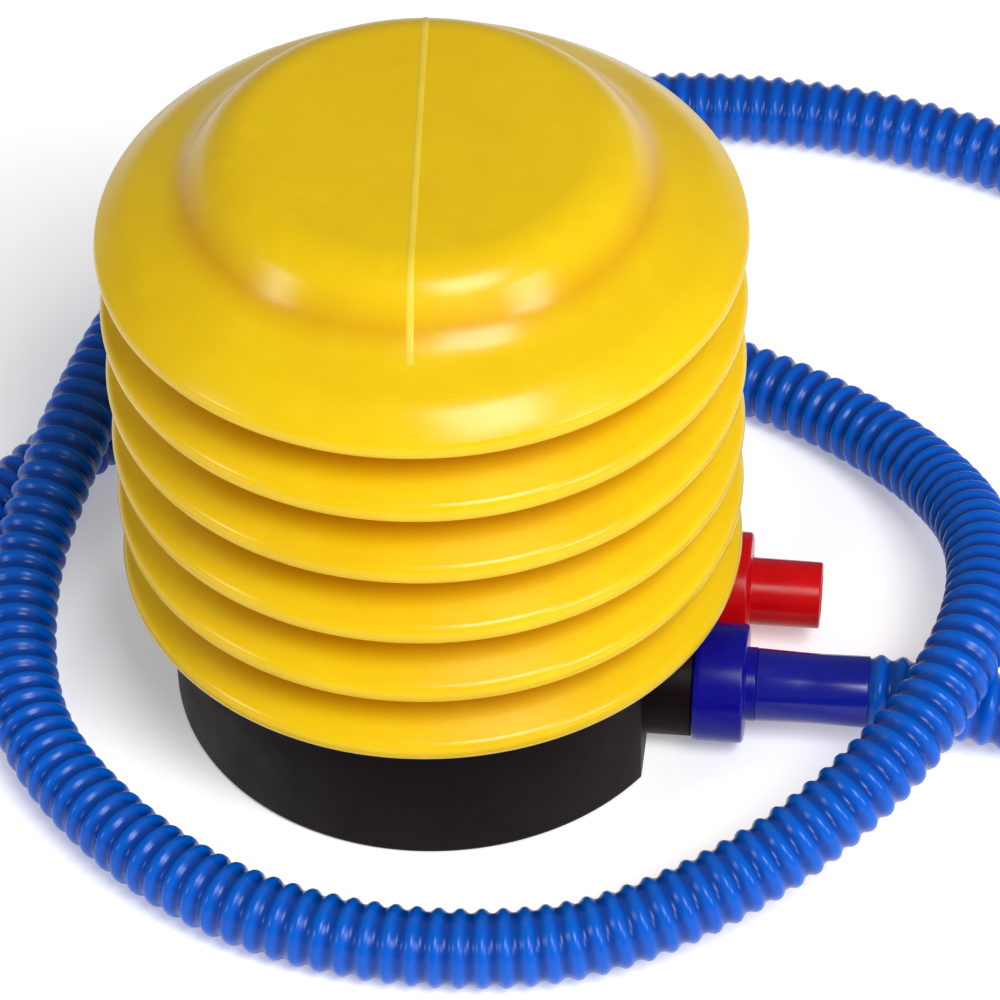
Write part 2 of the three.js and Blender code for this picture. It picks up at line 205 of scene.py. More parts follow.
def piece_from(bm: bmesh.types.BMesh, name: str, crease: float = 32.0) -> bpy.types.Object:
    """Makes a smooth-shaded object of a bmesh, which is freed.

    Args:
        bm: The finished shape in metres, in the frame's place.
        name: The piece's name.
        crease: Edges sharper than this angle, in degrees, stay sharp.

    Returns:
        The new object, at the origin.
    """
    mesh = bpy.data.meshes.new(name)
    bm.to_mesh(mesh)
    bm.free()
    shade_smooth(mesh, crease)
    made = bpy.data.objects.new(name, mesh)
    bpy.context.scene.collection.objects.link(made)
    return made


def turned(
    name: str, corners: list[Corner], closed: bool, facets: int, place: Matrix | None = None, steps: int = 5,
) -> bpy.types.Object:
    """Rounds an outline's corners, with steps chords to each, and turns it round its axis into a piece."""
    return piece_from(revolve(outline(corners, closed, steps), closed, facets, place), name, crease=50.0)


def keep_values(made: bpy.types.Object, name: str, values: np.ndarray) -> None:
    """Keeps a number, or a place, for each of a piece's points, which its finish reads.

    Args:
        made: The piece.
        name: The attribute's name.
        values: One number for each point, or one row of three.
    """
    kind, key = ("FLOAT", "value") if values.ndim == 1 else ("FLOAT_VECTOR", "vector")
    kept = made.data.attributes.new(name, kind, "POINT")
    kept.data.foreach_set(key, values.astype(np.float32).ravel())


def carve(target: bpy.types.Object, tool: bmesh.types.BMesh, how: str) -> None:
    """Joins a shape to a piece, or cuts it out of the piece, and removes the shape.

    Args:
        target: The piece that changes.
        tool: The shape to join or to cut with, which is freed.
        how: UNION or DIFFERENCE.
    """
    other = piece_from(tool, "carving_tool")
    step = target.modifiers.new("carve", "BOOLEAN")
    step.operation = how
    step.solver = "EXACT"
    step.object = other
    graph = bpy.context.evaluated_depsgraph_get()
    result = bpy.data.meshes.new_from_object(target.evaluated_get(graph))
    target.modifiers.clear()
    old = target.data
    target.data = result
    result.name = old.name
    bpy.data.meshes.remove(old)
    bpy.data.objects.remove(other)


def soften(target: bpy.types.Object, width: float, angle: float = 40.0, crease: float = 50.0) -> None:
    """Rounds a piece's sharp edges and leaves its smooth ones.

    Args:
        target: The piece.
        width: The rounding, in millimetres.
        angle: Edges sharper than this, in degrees, are rounded.
        crease: Edges that are still sharper than this afterwards stay sharp.
    """
    bm = bmesh.new()
    bm.from_mesh(target.data)
    bmesh.ops.remove_doubles(bm, verts=bm.verts, dist=WELD_M)
    bmesh.ops.dissolve_degenerate(bm, edges=bm.edges, dist=WELD_M)
    limit = math.radians(angle)
    sharp = [e for e in bm.edges if len(e.link_faces) == 2 and e.calc_face_angle(0.0) > limit]
    bmesh.ops.bevel(
        bm, geom=sharp, offset=width * MM, offset_type="OFFSET", segments=2, profile=0.5,
        affect="EDGES", clamp_overlap=True, material=-1,
    )
    bm.to_mesh(target.data)
    bm.free()
    shade_smooth(target.data, crease)


def settle(
    made: bpy.types.Object, body: str, finish: "Finish", nodes: tuple[str, ...] = (),
) -> bpy.types.Object:
    """Dresses a piece, sets it on its body and hides the frame nodes that it stands for.

    Args:
        made: The piece, in place.
        body: The frame's body that carries it.
        finish: Its surface.
        nodes: The frame nodes that it stands for.

    Returns:
        The same piece.
    """
    made.data.materials.clear()
    made.data.materials.append(finish.material())
    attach(made, body)
    if nodes:
        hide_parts(*nodes)
    LOG.info("built %s on %s", made.name, body)
    return made


# ---------------- finishes


def srgb(code: str) -> tuple[float, float, float, float]:
    """Turns a colour such as "#f2c20c" into linear red, green, blue and alpha."""
    parts = [int(code[i : i + 2], 16) / 255 for i in (1, 3, 5)]
    linear = [c / 12.92 if c <= 0.04045 else ((c + 0.055) / 1.055) ** 2.4 for c in parts]
    return (linear[0], linear[1], linear[2], 1.0)


def add_node(
    tree: bpy.types.NodeTree, kind: str, inputs: dict[str | int, object] | None = None, **settings: object,
) -> bpy.types.Node:
    """Adds one node to a material.

    Args:
        tree: The material's node tree.
        kind: The node's type.
        inputs: Sockets by name or number, each with a number or with the socket that feeds it.
        **settings: The node's own properties.

    Returns:
        The new node.
    """
    node = tree.nodes.new(kind)
    for name, value in settings.items():
        setattr(node, name, value)
    for key, value in (inputs or {}).items():
        if isinstance(value, bpy.types.NodeSocket):
            tree.links.new(value, node.inputs[key])
        else:
            node.inputs[key].default_value = value
    return node


def ramp(
    tree: bpy.types.NodeTree, value: bpy.types.NodeSocket, start: tuple[float, float],
    end: tuple[float, float] = (0.0, 1.0), shape: str = "LINEAR",
) -> bpy.types.NodeSocket:
    """Maps a value from one range, start, to another, end, and holds it at both ends."""
    return add_node(tree, "ShaderNodeMapRange", {
        "Value": value, "From Min": start[0], "From Max": start[1], "To Min": end[0], "To Max": end[1],
    }, interpolation_type=shape).outputs[0]


def mixed(
    tree: bpy.types.NodeTree, share: bpy.types.NodeSocket, ground: object, over: object,
) -> bpy.types.NodeSocket:
    """Mixes a colour over another one, by its share."""
    return add_node(
        tree, "ShaderNodeMix", {0: share, 6: ground, 7: over}, data_type="RGBA",
    ).outputs[2]


def kept_value(tree: bpy.types.NodeTree, name: str, output: str = "Fac") -> bpy.types.NodeSocket:
    """Reads what a piece keeps for each of its points."""
    return add_node(tree, "ShaderNodeAttribute", attribute_name=name).outputs[output]


class Stretch(Enum):
    """How a pattern runs on a piece: the factors on its scale along X, Y and Z."""

    EVEN = (1.0, 1.0, 1.0)
    UPRIGHT = (1.0, 1.0, 0.06)


@dataclass(frozen=True)
class Finish:
    """A surface with a colour that drifts, a roughness that drifts and a fine relief.

    Args:
        name: What the material is.
        colour: Its main colour.
        drift: The colour that it drifts towards.
        roughness: Lowest and highest roughness.
        ior: Index of refraction.
        patch_mm: Size of the patches of the colour's drift.
        grain_mm: Size of the relief's grain.
        relief_mm: Height of the relief.
        metallic: 1 for a metal.
        scatter: Share of light that goes into the plastic and comes out beside.
        scatter_mm: How far that light goes.
        specular: Strength of the surface's own reflection, 0.5 for a clean one.
    """

    name: str
    colour: str
    drift: str
    roughness: tuple[float, float]
    ior: float = 1.5
    patch_mm: float = 30.0
    grain_mm: float = 0.8
    relief_mm: float = 0.02
    metallic: float = 0.0
    scatter: float = 0.0
    scatter_mm: float = 1.0
    specular: float = 0.5

    def place(self, tree: bpy.types.NodeTree) -> bpy.types.NodeSocket:
        """Where a point lies, for the patterns, in metres."""
        return add_node(tree, "ShaderNodeTexCoord").outputs["Object"]

    def noise(
        self, tree: bpy.types.NodeTree, size_mm: float, detail: float, way: Stretch = Stretch.EVEN,
    ) -> bpy.types.NodeSocket:
        """A noise whose features have a real size.

        Args:
            tree: The material's node tree.
            size_mm: The size of a feature.
            detail: Octaves of finer noise on it.
            way: How the noise is stretched.

        Returns:
            The noise's value, about 0.5 on average.
        """
        turned = add_node(tree, "ShaderNodeMapping", {"Vector": self.place(tree), "Scale": way.value})
        return add_node(tree, "ShaderNodeTexNoise", {
            "Vector": turned.outputs["Vector"], "Scale": 1 / (size_mm * MM), "Detail": detail,
            "Roughness": 0.55,
        }).outputs["Fac"]

    def colouring(self, tree: bpy.types.NodeTree) -> bpy.types.NodeSocket:
        """The colour, which drifts in soft patches."""
        share = ramp(tree, self.noise(tree, self.patch_mm, 3.0), (0.35, 0.7))
        return mixed(tree, share, srgb(self.colour), srgb(self.drift))

    def gloss(self, tree: bpy.types.NodeTree) -> bpy.types.NodeSocket:
        """The roughness, which drifts between its two limits."""
        return ramp(tree, self.noise(tree, self.patch_mm * 0.4, 4.0), (0.3, 0.7), self.roughness)

    def relief(self, tree: bpy.types.NodeTree) -> bpy.types.NodeSocket:
        """The surface's direction, with the grain on it."""
        grain = self.noise(tree, self.grain_mm, 2.0)
        return add_node(tree, "ShaderNodeBump", {
            "Height": grain, "Strength": 1.0, "Distance": self.relief_mm * MM,
        }).outputs["Normal"]

    def material(self) -> bpy.types.Material:
        """The Blender material of this finish, made once."""
        made = bpy.data.materials.get(self.name)
        if made is not None:
            return made
        made = bpy.data.materials.new(self.name)
        made.use_nodes = True
        tree = made.node_tree
        tree.nodes.clear()
        shader = add_node(tree, "ShaderNodeBsdfPrincipled", {
            "Base Color": self.colouring(tree),
            "Roughness": self.gloss(tree),
            "Normal": self.relief(tree),
            "Metallic": self.metallic,
            "IOR": self.ior,
            "Subsurface Weight": self.scatter,
            "Subsurface Scale": self.scatter_mm * MM,
            "Subsurface Radius": (1.0, 0.55, 0.12),  # red light goes furthest
            "Specular IOR Level": self.specular,
        })
        add_node(tree, "ShaderNodeOutputMaterial", {"Surface": shader.outputs[0]})
        return made


@dataclass(frozen=True)
class BlowMouldedPolyethylene(Finish):
    """Soft polyethylene blown into a mould: drawn streaks run up the wall, and shade is painted into the
    folds' valleys and round the dome's foot.

    Args:
        streak: Colour of the streaks.
        streak_mm: Width of a streak.
        valley: Colour of the shade painted into the folds' valleys and round the dome's foot.
    """

    streak: str = "#e8ca18"
    streak_mm: float = 5.0
    valley: str = "#c27a02"

    def colouring(self, tree: bpy.types.NodeTree) -> bpy.types.NodeSocket:
        """The drifting colour with pale upright streaks, and painted shade in the valleys and round the
        dome's foot.
        """
        streaks = ramp(tree, self.noise(tree, self.streak_mm, 2.0, Stretch.UPRIGHT), (0.5, 0.8), (0.0, 0.3))
        drawn = mixed(tree, streaks, super().colouring(tree), srgb(self.streak))
        # painted shade: deeper orange where the skin lies deep in a fold and round the dome's foot
        painted_shade = ramp(tree, kept_value(tree, "painted_shade_depth"), (0.12, 0.8), (0.0, 0.85), "SMOOTHSTEP")
        return mixed(tree, painted_shade, drawn, srgb(self.valley))


@dataclass(frozen=True)
class RibbedPolyethylene(Finish):
    """Thin polyethylene hose with shade painted into its grooves, whose colour is groove."""

    groove: str = "#032a7c"

    def place(self, tree: bpy.types.NodeTree) -> bpy.types.NodeSocket:
        """Where a point lay on the straight hose, so that the patterns follow its bends."""
        return kept_value(tree, "straight_place", "Vector")

    def colouring(self, tree: bpy.types.NodeTree) -> bpy.types.NodeSocket:
        """The drifting colour, with painted shade in the grooves."""
        # painted shade: the grooves darken towards groove
        low = ramp(tree, kept_value(tree, "rib_height"), (0.0, 0.75), (0.75, 0.0))
        return mixed(tree, low, super().colouring(tree), srgb(self.groove))


# Low-density polyethylene, blown: waxy, half glossy, and light travels a little way into it.
YELLOW_SKIN = BlowMouldedPolyethylene(
    "blow_moulded_yellow_polyethylene", "#e5bf08", "#ddb406", (0.2, 0.28), ior=1.51, patch_mm=40.0,
    grain_mm=1.6, relief_mm=0.012, scatter=0.04, scatter_mm=1.2, specular=0.28,
)
# The same skin along the line where the two halves of the mould met, in a paler colour.
PALE_SEAM = Finish(
    "thin_mould_line_polyethylene", "#e8cb44", "#e2c132", (0.3, 0.4), ior=1.51, patch_mm=12.0,
    grain_mm=1.2, relief_mm=0.01, specular=0.26,
)
# ABS from a spark-eroded mould: an even satin grain that breaks the reflections up.
BLACK_BASE = Finish(
    "grained_black_abs", "#100709", "#140a0d", (0.42, 0.54), ior=1.5, patch_mm=22.0, grain_mm=0.5,
    relief_mm=0.02, specular=0.06,
)
# Polypropylene from a polished mould: hard, clean highlights. The caps.
NAVY_GLOSS = Finish(
    "polished_navy_polypropylene", "#100c86", "#0c0978", (0.18, 0.26), ior=1.49, patch_mm=12.0,
    grain_mm=2.5, relief_mm=0.006, specular=0.16,
)
RED_GLOSS = Finish(
    "polished_red_polypropylene", "#c80a10", "#b4060c", (0.18, 0.26), ior=1.49, patch_mm=12.0,
    grain_mm=2.5, relief_mm=0.006, specular=0.16,
)
# The sleeves on the hose: soft PVC, polished, a little bluer than the caps.
BLUE_SLEEVE = Finish(
    "polished_blue_pvc", "#111a90", "#0e1582", (0.15, 0.22), ior=1.53, patch_mm=10.0,
    grain_mm=2.0, relief_mm=0.006, specular=0.3,
)
# Extruded and corrugated low-density polyethylene: satin, a little waxy.
BLUE_HOSE = RibbedPolyethylene(
    "corrugated_blue_polyethylene", "#0059c6", "#0052bc", (0.22, 0.3), ior=1.51, patch_mm=26.0,
    grain_mm=1.0, relief_mm=0.008, specular=0.22,
)
# Nitrile rubber: matt and almost black, with a fine talc bloom.
SOFT_RUBBER = Finish(
    "matt_nitrile_rubber", "#1b1b1d", "#29292b", (0.65, 0.85), ior=1.52, patch_mm=4.0, grain_mm=0.3,
    relief_mm=0.02,
)
# Natural nylon: milky, satin, light goes well into it.
MILKY_NYLON = Finish(
    "natural_nylon", "#e9e5da", "#dcd6c6", (0.35, 0.5), ior=1.53, patch_mm=14.0, grain_mm=0.7,
    relief_mm=0.015, scatter=0.2, scatter_mm=1.5,
)
# Zinc-plated spring steel: bright, with fine marks drawn along the wire.
ZINC_STEEL = Finish(
    "zinc_plated_spring_steel", "#c4c5c8", "#9fa2a8", (0.22, 0.38), patch_mm=6.0, grain_mm=0.25,
    relief_mm=0.01, metallic=1.0,
)


# ---------------- places from the frame


@dataclass(frozen=True)
class NodeBox:
    """A frame node's box at rest, in millimetres."""

    low: Vector
    high: Vector

    @classmethod
    def of(cls, node: str) -> "NodeBox":
        """Reads a node's box from the frame."""
        low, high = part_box(node)
        return cls(low / MM, high / MM)

    @property
    def centre(self) -> Vector:
        """The box's middle."""
        return (self.low + self.high) / 2

    @property
    def size(self) -> Vector:
        """The box's size along each axis."""
        return self.high - self.low


def on_port(cap: NodeBox) -> Matrix:
    """Lays a shape made along +Z on a port's own line: height becomes the distance along +X."""
    return Matrix.Translation((0.0, cap.centre.y * MM, cap.centre.z * MM)) @ Matrix.Rotation(
        math.pi / 2, 4, "Y"
    )


# ---------------- hose

# The hose's centre line from the outlet's sleeve to the free end, as in the part's source.
HOSE_ROUTE = [
    (83.3, -12.4, 12.5), (98.0, -12.4, 11.7), (120.0, -12.0, 8.8), (146.0, -6.5, 7.6), (171.0, 7.5, 7.5),
    (188.0, 31.0, 7.5), (194.5, 60.0, 7.5), (189.0, 89.0, 7.5), (171.5, 114.0, 7.5), (145.0, 133.0, 7.5),
    (116.0, 147.0, 7.5), (86.0, 158.5, 7.5), (55.0, 164.0, 7.5), (23.0, 162.5, 7.5), (-7.0, 153.5, 7.8),
    (-33.0, 138.0, 9.5), (-51.5, 115.5, 13.5), (-64.0, 88.0, 19.0), (-71.0, 58.5, 23.0), (-76.5, 29.0, 21.3),
    (-80.0, -1.5, 14.2), (-73.5, -31.0, 8.6), (-53.0, -56.0, 7.5), (-26.0, -73.0, 7.5), (5.0, -79.0, 7.5),
    (36.0, -75.0, 8.5), (65.0, -60.0, 13.5), (88.0, -38.5, 21.5), (101.5, -11.5, 26.3), (103.0, 18.0, 22.0),
    (93.0, 45.5, 13.5), (71.0, 68.5, 8.3), (41.0, 82.5, 7.5), (10.0, 87.5, 7.5), (-21.0, 83.5, 7.5),
    (-50.0, 71.0, 7.5), (-74.0, 50.5, 7.5), (-91.0, 24.5, 7.5), (-103.0, -4.0, 7.5), (-112.0, -34.0, 7.5),
]
HOSE_ROUTE_M = [tuple(round(length * MM, 7) for length in point) for point in HOSE_ROUTE]


@dataclass
class Route:
    """A smooth line through given points, known by the distance along it.

    Args:
        points_m: The points it goes through.
        fine: Samples between two of the points.
    """

    points_m: list[tuple[float, float, float]]
    fine: int = 24
    line: np.ndarray = field(init=False)
    along: np.ndarray = field(init=False)

    def __post_init__(self) -> None:
        """Samples the line once."""
        knots = np.array(self.points_m)
        samples = [
            self._between(knots, i, step / self.fine)
            for i in range(len(knots) - 1)
            for step in range(self.fine)
        ]
        self.line = np.array([*samples, knots[-1]])
        lengths = np.linalg.norm(np.diff(self.line, axis=0), axis=1)
        self.along = np.concatenate([[0.0], np.cumsum(lengths)])

    @staticmethod
    def _between(knots: np.ndarray, i: int, t: float) -> np.ndarray:
        """A point of the centripetal Catmull-Rom curve, t of the way from knot i to the next."""
        p1, p2 = knots[i], knots[i + 1]
        p0 = knots[i - 1] if i > 0 else 2 * p1 - p2
        p3 = knots[i + 2] if i + 2 < len(knots) else 2 * p2 - p1
        d0, d1, d2 = (math.sqrt(np.linalg.norm(b - a)) for a, b in ((p0, p1), (p1, p2), (p2, p3)))
        leave = ((p1 - p0) / d0 - (p2 - p0) / (d0 + d1) + (p2 - p1) / d1) * d1
        reach = ((p2 - p1) / d1 - (p3 - p1) / (d1 + d2) + (p3 - p2) / d2) * d1
        rise = 3 * (p2 - p1) - 2 * leave - reach
        turn = 2 * (p1 - p2) + leave + reach
        return p1 + leave * t + rise * t**2 + turn * t**3

    @property
    def length(self) -> float:
        """The line's whole length in metres."""
        return float(self.along[-1])

    def at(self, distance: np.ndarray) -> np.ndarray:
        """The points at these distances along the line."""
        return np.stack([np.interp(distance, self.along, self.line[:, k]) for k in range(3)], axis=1)

    def heading(self, distance: np.ndarray) -> np.ndarray:
        """The line's directions at these distances, smoothed over a few millimetres."""
        step = 2 * MM
        ahead = self.at(np.minimum(distance + step, self.length))
        behind = self.at(np.maximum(distance - step, 0.0))
        way = ahead - behind
        return way / np.linalg.norm(way, axis=1, keepdims=True)


@dataclass
class Hose:
    """The corrugated hose with its smooth cuffs and its stepped nozzle.

    Args:
        route: The hose's centre line.
        rib_pitch: Distance from one rib to the next.
        rib_depth: How far a rib stands over the groove.
        ridge_foot: Half of a rib's width at its foot, as a share of the pitch.
        ridge_crown: Half of its width at its crown.
        wall: Thickness of the hose's wall.
        sides: Facets round the hose.
        stations: Points of the profile in each pitch.
        fitting_sides: Facets round what is on the hose.
    """

    route: Route
    rib_pitch: float = 4.1
    rib_depth: float = 0.88
    ridge_foot: float = 0.45
    ridge_crown: float = 0.05
    wall: float = 0.9
    sides: int = 28
    stations: int = 10
    fitting_sides: int = 64

    @property
    def radius(self) -> float:
        """The hose's outer radius, half of the height of its frame node where it lies flat."""
        return self.route.points_m[8][2] / MM - 0.2

    @property
    def free_end(self) -> Matrix:
        """Lays a shape made along +Z on the hose's free end, running on in its direction."""
        end = self.route.line[-1]
        way = Vector(self.route.points_m[-1]) - Vector(self.route.points_m[-2])
        way.z = 0.0
        return Matrix.Translation(Vector(end)) @ way.to_track_quat("Z", "Y").to_matrix().to_4x4()

    def rib_shape(self, phase: np.ndarray) -> np.ndarray:
        """Height of the hose's wall over the groove, from 0 to 1: round ridges and round grooves."""
        from_ridge = np.abs((phase + 0.5) % 1.0 - 0.5)
        rise = np.clip((self.ridge_foot - from_ridge) / (self.ridge_foot - self.ridge_crown), 0.0, 1.0)
        return rise * rise * (3 - 2 * rise)

    def build_tube(self) -> bpy.types.Object:
        """Turns the ribbed tube straight and lays it along the route.

        Returns:
            The hose, with the height of its ribs kept in the attribute rib_height.
        """
        length = self.route.length / MM
        ribs = round(length / self.rib_pitch)
        pitch = length / ribs
        phase = np.arange(ribs * self.stations + 1) / self.stations
        distance = phase * pitch
        height = self.rib_shape(phase + 0.5)
        outer = self.radius - self.rib_depth * (1 - height)
        bore = self.radius - self.rib_depth - self.wall
        profile = [Vector((r, s)) for r, s in zip(outer, distance)]
        profile += [Vector((bore, s)) for s in distance[::-self.stations]]
        bm = revolve(profile, closed=True, steps=self.sides)
        made = piece_from(bm, "corrugated_hose", crease=75.0)
        self._lay(made)
        return made

    def _lay(self, made: bpy.types.Object) -> None:
        """Bends the straight tube along the route, without twisting it."""
        count = len(made.data.vertices)
        flat = np.empty(count * 3)
        made.data.vertices.foreach_get("co", flat)
        flat = flat.reshape(-1, 3)
        distance, back = np.unique(np.round(flat[:, 2], 7), return_inverse=True)
        middle, way = self.route.at(distance), self.route.heading(distance)
        side = np.cross(way, (0.0, 0.0, 1.0))
        side /= np.linalg.norm(side, axis=1, keepdims=True)
        over = np.cross(side, way)
        placed = middle[back] + side[back] * flat[:, :1] + over[back] * flat[:, 1:2]
        made.data.vertices.foreach_set("co", placed.ravel())
        from_middle = np.linalg.norm(flat[:, :2], axis=1) / MM
        share = np.clip(1 - (self.radius - from_middle) / self.rib_depth, 0.0, 1.0)
        keep_values(made, "rib_height", share)
        keep_values(made, "straight_place", flat)
        made.data.update()

    def build_cuff(self) -> bpy.types.Object:
        """The waisted sleeve that joins the hose to the outlet and closes over the hose's first groove."""
        box = NodeBox.of("hose_cuff")
        radius, low, high = box.size.y / 2, box.low.x, box.high.x
        bore, waist, mouth = radius - 1.35, radius - 0.35, radius - 0.75
        root, lip, stop = low - 0.3, high + 1.1, high - 1.0
        corners = [
            Corner(bore, root, 0.1), Corner(radius - 0.05, root, 0.2), Corner(waist, (low + high) / 2, 90.0),
            Corner(radius - 0.15, lip, 0.4), Corner(mouth, lip, 0.2), Corner(mouth, stop, 0.3),
            Corner(bore, stop, 0.2),
        ]
        place = on_port(NodeBox.of("outlet_port_cap"))
        return turned("hose_sleeve", corners, True, self.fitting_sides, place)

    def build_end_cuff(self) -> bpy.types.Object:
        """The sleeve on the free end, with finger grooves."""
        length, radius, root = 22.0, 6.95, 0.3
        first_groove, groove_pitch, groove = 7.0, 4.0, radius - 0.7
        socket, socket_end = 4.4, 13.7
        corners = [Corner(0.0, root), Corner(radius, root, 0.5)]
        for start in (first_groove + i * groove_pitch for i in range(3)):
            corners += [
                Corner(radius, start, 0.25), Corner(groove, start + 0.7, 0.3),
                Corner(groove, start + 1.7, 0.3), Corner(radius, start + 2.4, 0.25),
            ]
        corners += [
            Corner(radius, length, 0.6), Corner(socket, length, 0.2), Corner(socket, socket_end, 0.1),
            Corner(0.0, socket_end),
        ]
        return turned("hose_end_sleeve", corners, False, self.fitting_sides, self.free_end, steps=3)

    def build_nozzle(self) -> bpy.types.Object:
        """The stepped cone that fits balloons, rings and ball valves, with its air bore."""
        bore, shank, root, flange, tip = 1.4, 4.1, 14.0, 22.3, 66.0
        steps = [
            (flange, 6.4), (25.3, 6.4), (25.3, 4.9), (40.0, 4.4), (40.0, 3.7), (54.0, 3.2), (54.0, 2.7),
        ]
        corners = [Corner(bore, root), Corner(shank, root, 0.2), Corner(shank, flange)]
        corners += [Corner(radius, along, 0.35) for along, radius in steps]
        corners += [Corner(2.2, tip, 0.4), Corner(bore, tip, 0.15)]
        return turned("stepped_nozzle", corners, True, self.fitting_sides, self.free_end, steps=4)

    def build(self) -> None:
        fittings = [
            settle(make(), "base", BLUE_SLEEVE, (node,))
            for make, node in (
                (self.build_cuff, "hose_cuff"), (self.build_end_cuff, "hose_end_cuff"),
                (self.build_nozzle, "nozzle"),
            )
        ]
        tube = settle(self.build_tube(), "base", BLUE_HOSE, ("hose",))


# ---------------- bellows


@dataclass
class Bellows:
    """The folded skin, in pieces that meet on the outer edge of each rim, and the domed foot pad.

    Args:
        tip: Rounding of a rim's outer edge.
        valley_radius: Radius of the folds' inner edge.
        valley_round: Rounding of the folds' inner edge.
        neck_radius: Radius of the neck that the base holds.
        skin: Thickness of the wall.
        land: Height of the upright strip on which two pieces of skin meet.
        dome_foot: Radius of the crease at the foot of the pad's dome, where the painted shade is darkest.
        dome_foot_width: How far the painted shade reaches to each side.
        dome_foot_shade: How dark the painted shade is, against 1 in a fold's valley.
        seam_end: How far out the mould line reaches on the pad.
        seam_fade: Length over which it fades away.
        steps: Facets round the skin.
    """

    tip: float = 2.3
    valley_radius: float = 46.4
    valley_round: float = 2.0
    neck_radius: float = 47.5
    skin: float = 1.2
    land: float = 0.16
    dome_foot: float = 41.5
    dome_foot_width: float = 6.0
    dome_foot_shade: float = 0.5
    seam_end: float = 46.5
    seam_fade: float = 14.0
    steps: int = 180

    @property
    def rim_radius(self) -> float:
        """Outer radius of the rims."""
        return NodeBox.of("bellows_rim_3").high.x

    def rim_height(self, number: int) -> float:
        """Height of a rim's edge, counted from the top rim, which is 1, to the lowest, which is 6."""
        second, fifth = (NodeBox.of(f"bellows_rim_{n}").centre.z for n in (2, 5))
        return second + (number - 2) * (fifth - second) / 3

    def half_rim(self, z: float, up: bool) -> list[Vector]:
        """The rounded half of a rim's edge, from its outermost strip to where the fold begins.

        Args:
            z: Height of the rim's edge.
            up: Whether the half above the edge is wanted, or the one below it.

        Returns:
            The outline's points, starting on the edge.
        """
        way = 1.0 if up else -1.0
        centre = self.rim_radius - self.tip
        arc = [
            Vector((
                centre + self.tip * math.cos(math.radians(a)),
                z + way * (self.land + self.tip * math.sin(math.radians(a))),
            ))
            for a in (0, 8, 17, 27, 38, 50, 60)
        ]
        return [Vector((self.rim_radius, z)), *arc]

    def fold_outline(self, upper: int) -> list[Vector]:
        """The closed outline of the skin from one rim's edge down to the next rim's edge."""
        high, low = self.rim_height(upper), self.rim_height(upper + 1)
        middle = (high + low) / 2
        top, bottom = self.half_rim(high, up=False), self.half_rim(low, up=True)[::-1]
        deepest = Vector((self.valley_radius - 0.8, middle))
        valley = fillet_points(top[-1], deepest, bottom[0], self.valley_round, 6)
        inside, half_flat = self.valley_radius - self.skin - 0.6, 0.5
        inner = [
            Vector((self.rim_radius - self.skin, low)),
            Vector((self.rim_radius - self.tip, low + self.tip - self.skin + self.land)),
            Vector((inside, middle - half_flat)),
            Vector((inside, middle + half_flat)),
            Vector((self.rim_radius - self.tip, high - self.tip + self.skin - self.land)),
            Vector((self.rim_radius - self.skin, high)),
        ]
        return [*top, *valley, *bottom, *inner]

    @staticmethod
    def from_axis(made: bpy.types.Object) -> np.ndarray:
        """How far each point of a piece lies from the pump's axis, in millimetres."""
        flat = np.empty(len(made.data.vertices) * 3)
        made.data.vertices.foreach_get("co", flat)
        return np.linalg.norm(flat.reshape(-1, 3)[:, :2], axis=1) / MM

    def keep_painted_shade_depth(self, made: bpy.types.Object) -> None:
        """Keeps how deep each point of the skin lies in its fold, from 0 on the rim to 1 in the valley, which
        the finish turns into painted shade.
        """
        crown = self.rim_radius - self.tip / 2
        depth = (crown - self.from_axis(made)) / (crown - self.valley_radius)
        keep_values(made, "painted_shade_depth", np.clip(depth, 0.0, 1.0))

    def build_fold(self, upper: int) -> None:
        """Builds the skin between two rims."""
        bm = revolve(self.fold_outline(upper), True, self.steps)
        made = piece_from(bm, f"bellows_skin_{upper}", crease=60.0)
        self.keep_painted_shade_depth(made)
        made.data.materials.append(YELLOW_SKIN.material())
        high, low = (self.rim_height(n) * MM for n in (upper, upper + 1))
        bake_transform(made)
        nodes = [f"bellows_fold_{upper}"]
        if upper > 1:
            nodes.append(f"bellows_rim_{upper}")
        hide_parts(*nodes)
        LOG.info("built %s", made.name)

    def pad_outline(self) -> list[Corner]:
        """The outer outline of the foot pad, from its middle to the top rim's rounded edge."""
        box = NodeBox.of("bellows_top")
        top, rim = box.high.z, self.rim_height(1)
        return [
            Corner(0.0, top),
            Corner(35.2, top - 0.1, 10.5),
            Corner(43.1, top - 11.0, 15.0),
            Corner(52.6, rim + 5.9, 14.0),
        ]

    def build_pad(self) -> None:
        """Builds the domed pad with the upper half of the top rim."""
        rim = self.rim_height(1)
        edge = self.half_rim(rim, up=True)[::-1][2:]
        corners = [*self.pad_outline(), Corner(edge[0].x, edge[0].y)]
        outer = outline(corners, closed=False, steps=9)[:-1] + edge
        inward, down = self.skin * 0.75, self.skin * 1.1
        inner = [Vector((p.x - inward, p.y - down)) for p in outer[1:-4:2]][::-1]
        inner = [Vector((self.rim_radius - self.skin, rim)), *inner, Vector((0.0, outer[0].y - down))]
        bm = revolve(outer + inner, False, self.steps)
        made = piece_from(bm, "foot_pad", crease=60.0)
        # painted shade: a band of deeper colour round the crease at the dome's foot
        from_foot = np.abs(self.from_axis(made) - self.dome_foot) / self.dome_foot_width
        keep_values(made, "painted_shade_depth", self.dome_foot_shade * np.clip(1 - from_foot, 0.0, 1.0))
        settle(made, "top", YELLOW_SKIN, ("bellows_top",))
        self.build_mould_line(outer)

    def build_mould_line(self, outer: list[Vector]) -> None:
        """Builds the fine raised line that the mould's two halves leave across the pad.

        Args:
            outer: The pad's outline from the middle to the rim's edge.
        """
        width, height, sunk, angle = 0.85, 0.15, 0.25, math.radians(95.0)
